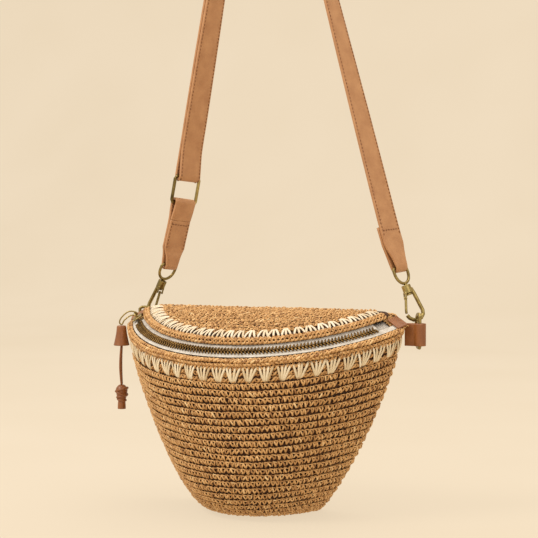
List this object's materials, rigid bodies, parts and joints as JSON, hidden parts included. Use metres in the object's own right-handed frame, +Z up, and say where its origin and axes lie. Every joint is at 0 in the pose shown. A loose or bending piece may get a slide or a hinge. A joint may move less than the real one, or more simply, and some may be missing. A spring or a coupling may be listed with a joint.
{
  "type": "crossbody purse",
  "caption": "Half-moon crocheted crossbody bag with a curved front zip, tan leather side loops, D-rings, swivel snap hooks and an adjustable leather strap.",
  "frame": {"origin": "top of the strap, on its outer face, where the purse hangs", "axes": "+Z up, the zipped front of the bag faces -Y, its flat back faces +Y, +X to the right seen from the front"},
  "size_m": [0.2792, 0.1166, 0.6238],
  "materials": {
    "raffia": "natural straw-coloured raffia yarn in crochet rows, dry and slightly glossy on the strands",
    "cream_raffia": "bleached raffia yarn, worked in fans along the zip",
    "lining": "plain cotton lining",
    "zip_tape": "off-white woven zip tape",
    "leather": "tan leather with fine grain, stitched and darker at its cut edges",
    "antique_brass": "antique brass, darkened in its hollows and bright where it wears"
  },
  "bodies": {
    "strap": {"main_strap": "leather", "strap_adjuster": "antique_brass"},
    "bag": {"body_shell": "raffia", "body_lining": "lining", "zip_tape_body": "zip_tape", "zip_teeth_body": "antique_brass", "zip_end_tab_left": "leather", "zip_end_tab_right": "leather", "side_loop_left": "leather", "side_loop_right": "leather"},
    "lid": {"top_panel": "raffia", "lid_lining": "lining", "zip_tape_lid": "zip_tape", "zip_teeth_lid": "antique_brass"},
    "slider": {"zip_slider": "antique_brass"},
    "pull_link": {"pull_tab": "antique_brass"},
    "pull": {"pull_cap": "leather", "pull_lace_left": "leather", "pull_lace_right": "leather", "pull_knot": "leather"},
    "ring_left": {"side_ring_left": "antique_brass"},
    "ring_right": {"side_ring_right": "antique_brass"},
    "strap_ring": {"strap_ring": "antique_brass"},
    "short_strap": {"short_strap": "leather"},
    "eye_left": {"hook_eye_left": "antique_brass"},
    "eye_right": {"hook_eye_right": "antique_brass"},
    "hook_left": {"hook_body_left": "antique_brass", "gate_pin_left": "antique_brass"},
    "hook_right": {"hook_body_right": "antique_brass", "gate_pin_right": "antique_brass"},
    "gate_body_left": {"hook_gate_left": "antique_brass"},
    "gate_body_right": {"hook_gate_right": "antique_brass"}
  },
  "joints": [
    {"name": "bag_swing", "type": "hinge", "parent": "strap", "child": "bag", "pos_m": [0.00684, 0, -0.4604], "axis": [1, 0, 0], "range_deg": [-6, 20]},
    {"name": "mouth_open", "type": "hinge", "parent": "bag", "child": "lid", "pos_m": [0.00684, -0.00772, -0.4583], "axis": [-1, 0, 0], "range_deg": [0, 50]},
    {"name": "zip_travel", "type": "hinge", "parent": "bag", "child": "slider", "pos_m": [0.00684, 0.03193, -0.44964], "axis": [0, -0.2756, 0.9613], "range_deg": [0, 123]},
    {"name": "pull_link_tilt", "type": "hinge", "parent": "slider", "child": "pull_link", "pos_m": [-0.11096, -0.03105, -0.46204], "axis": [-0.4772, 0.8448, 0.2422], "range_deg": [0, 18]},
    {"name": "pull_swing", "type": "hinge", "parent": "pull_link", "child": "pull", "pos_m": [-0.12172, -0.03464, -0.47199], "axis": [-0.4772, 0.8448, 0.2422], "range_deg": [0, 25]},
    {"name": "side_ring_left", "type": "hinge", "parent": "bag", "child": "ring_left", "pos_m": [-0.12166, -0.003, -0.4738], "axis": [0, 0, 1], "range_deg": [-1, 2]},
    {"name": "side_ring_right", "type": "hinge", "parent": "bag", "child": "ring_right", "pos_m": [0.14484, -0.007, -0.4738], "axis": [0, 0, 1], "range_deg": [-1, 2]},
    {"name": "strap_ring_tilt", "type": "hinge", "parent": "strap", "child": "strap_ring", "pos_m": [-0.07416, 0, -0.3413], "axis": [0.3907, 0.9205, 0], "range_deg": [-2, 2]},
    {"name": "short_strap_tilt", "type": "hinge", "parent": "strap_ring", "child": "short_strap", "pos_m": [-0.07866, 0, -0.3643], "axis": [0.3907, 0.9205, 0], "range_deg": [-4, 4]},
    {"name": "eye_tilt_left", "type": "hinge", "parent": "short_strap", "child": "eye_left", "pos_m": [-0.09266, 0, -0.4198], "axis": [0.3907, 0.9205, 0], "range_deg": [-4, 4]},
    {"name": "eye_tilt_right", "type": "hinge", "parent": "strap", "child": "eye_right", "pos_m": [0.12454, 0, -0.4198], "axis": [0.3907, 0.9205, 0], "range_deg": [-1, 1]},
    {"name": "hook_swivel_left", "type": "hinge", "parent": "eye_left", "child": "hook_left", "pos_m": [-0.09266, 0, -0.4198], "axis": [-0.4405, 0, -0.8978], "range_deg": [-4, 4]},
    {"name": "gate_left", "type": "hinge", "parent": "hook_left", "child": "gate_body_left", "pos_m": [-0.10128, -0.00239, -0.44437], "axis": [0.5496, 0.7907, -0.2697], "range_deg": [0, 16], "stiffness_Nm_per_rad": 0.02, "springref_deg": -2.86},
    {"name": "hook_swivel_right", "type": "hinge", "parent": "eye_right", "child": "hook_right", "pos_m": [0.12454, 0, -0.4198], "axis": [0.3559, 0, -0.9345], "range_deg": [-4, 4]},
    {"name": "gate_right", "type": "hinge", "parent": "hook_right", "child": "gate_body_right", "pos_m": [0.13089, -0.00244, -0.44504], "axis": [0.5849, -0.7799, 0.2228], "range_deg": [0, 16], "stiffness_Nm_per_rad": 0.02, "springref_deg": -2.86}
  ],
  "couplings": [
    {"joint": "short_strap_tilt", "follows": "strap_ring_tilt", "ratio": -1.4098},
    {"joint": "eye_tilt_left", "follows": "strap_ring_tilt", "ratio": 0.40981},
    {"joint": "pull_link_tilt", "follows": "zip_travel", "ratio": 0.14}
  ]
}
